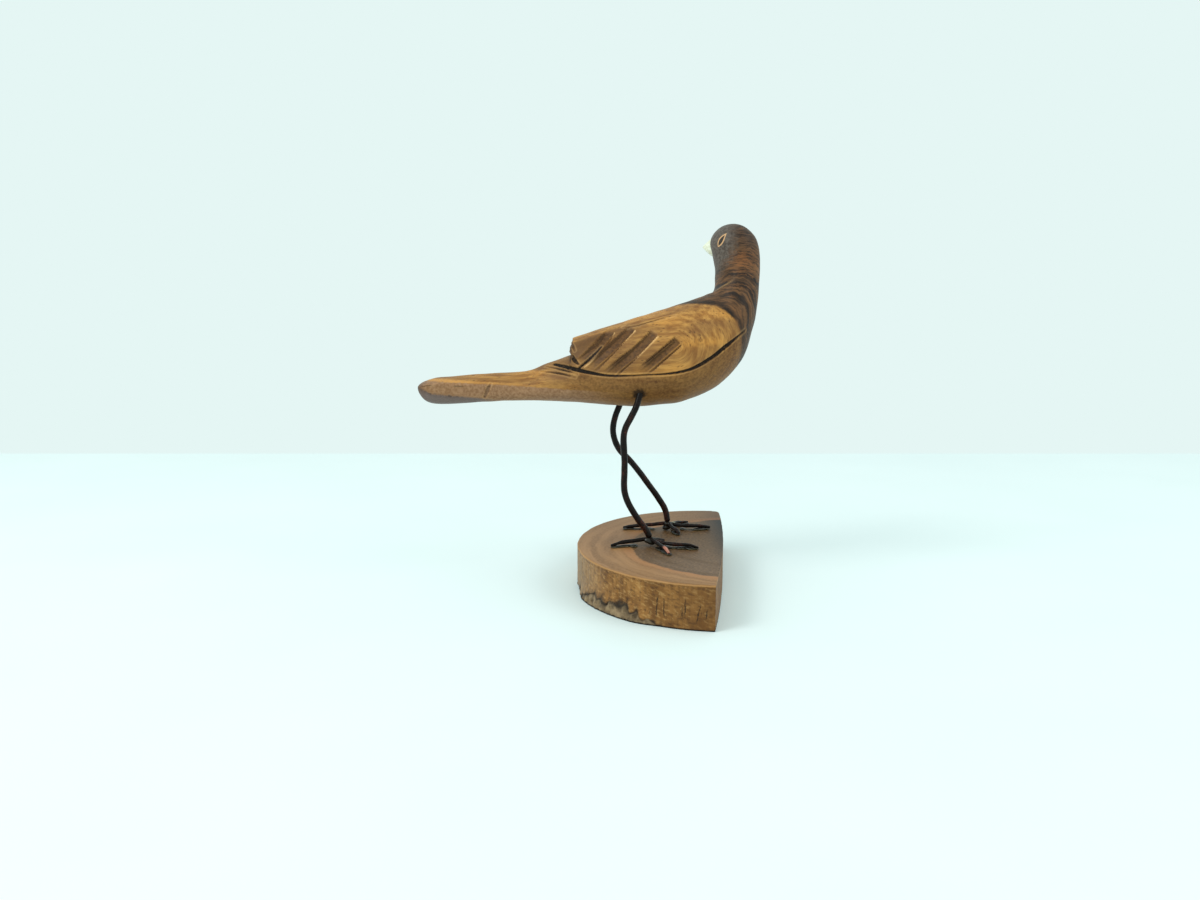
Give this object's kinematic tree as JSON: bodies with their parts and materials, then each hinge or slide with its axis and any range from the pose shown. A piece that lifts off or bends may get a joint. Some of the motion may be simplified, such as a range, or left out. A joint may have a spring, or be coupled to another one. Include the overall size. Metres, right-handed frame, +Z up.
{
  "type": "carved wooden bird",
  "caption": "Carved wooden standing bird with its head turned back, on bent wire legs fixed to a half-round slice of log; a shelf ornament in the manner of folk carvings and decoys.",
  "frame": {"origin": "on the underside of the base slice, under the middle of its length", "axes": "+Z up, the bird's breast faces +X and its tail -X, its right side faces -Y"},
  "size_m": [0.1559, 0.1419, 0.163],
  "materials": {
    "carved_wood": "oiled, satin, golden sapwood with a dark grey-brown head and breast",
    "horn": "smooth pale horn",
    "leg_wire": "glossy brown-black coating over copper wire",
    "base_wood": "sawn and oiled, satin"
  },
  "bodies": {
    "root": {"body": "carved_wood", "beak": "horn", "right_leg": "leg_wire", "left_leg": "leg_wire", "base": "base_wood"}
  },
  "joints": []
}
